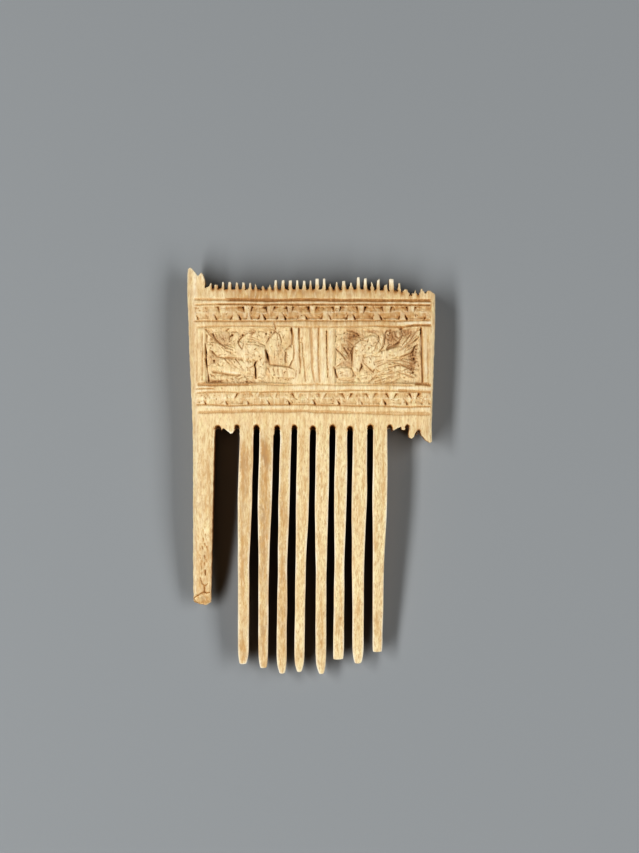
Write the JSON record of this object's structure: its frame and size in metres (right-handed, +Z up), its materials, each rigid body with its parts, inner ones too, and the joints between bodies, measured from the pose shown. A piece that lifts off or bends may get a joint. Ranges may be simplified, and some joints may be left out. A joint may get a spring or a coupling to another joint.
{
  "type": "double-sided wooden comb",
  "caption": "Flat double-sided comb carved from one piece of boxwood: long coarse teeth, broken fine teeth, grooved zigzag borders and a panel with two raised birds.",
  "frame": {"origin": "under the middle of the comb's outline, on the surface that it lies on", "axes": "+X across the comb, to the right as seen from the carved front; +Y along the comb, towards the fine teeth; +Z up, out of the carved front"},
  "size_m": [0.0752, 0.1234, 0.0099],
  "materials": {
    "boxwood": "old honey-coloured boxwood, smooth and slightly polished by handling, with fine straight grain along the teeth and browner wood in the cuts"
  },
  "bodies": {
    "root": {"comb": "boxwood"}
  },
  "joints": []
}
